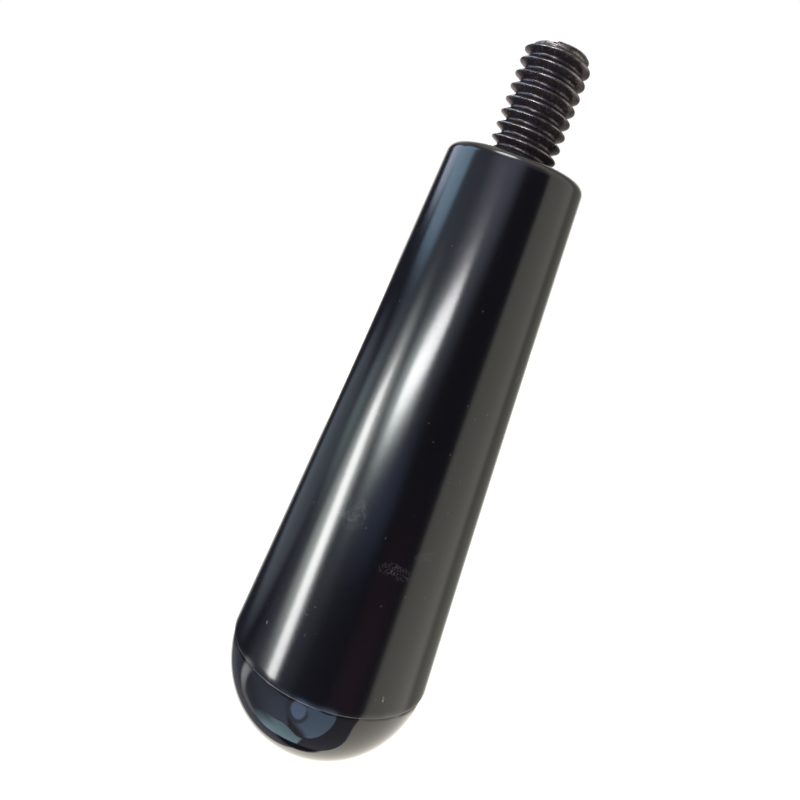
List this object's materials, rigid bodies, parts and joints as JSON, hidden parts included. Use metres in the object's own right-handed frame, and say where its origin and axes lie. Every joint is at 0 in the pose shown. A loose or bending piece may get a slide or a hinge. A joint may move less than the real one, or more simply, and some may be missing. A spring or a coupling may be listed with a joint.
{
  "type": "carriage handle",
  "caption": "Tapered moulded grip with a rounded wide end and a threaded steel stud out of its narrow end, to screw into a sliding carriage.",
  "frame": {"origin": "centre of the grip's end face, where the stud leaves it", "axes": "+Z out along the stud; the grip runs down -Z; X and Y are square to the axis"},
  "size_m": [0.0258, 0.0258, 0.0892],
  "materials": {
    "grip_plastic": "satin on the taper, glossy on the ball end",
    "stud_steel": "black oxide, worn bright on the crests"
  },
  "bodies": {
    "root": {"grip": "grip_plastic", "threaded_stud": "stud_steel"}
  },
  "joints": []
}
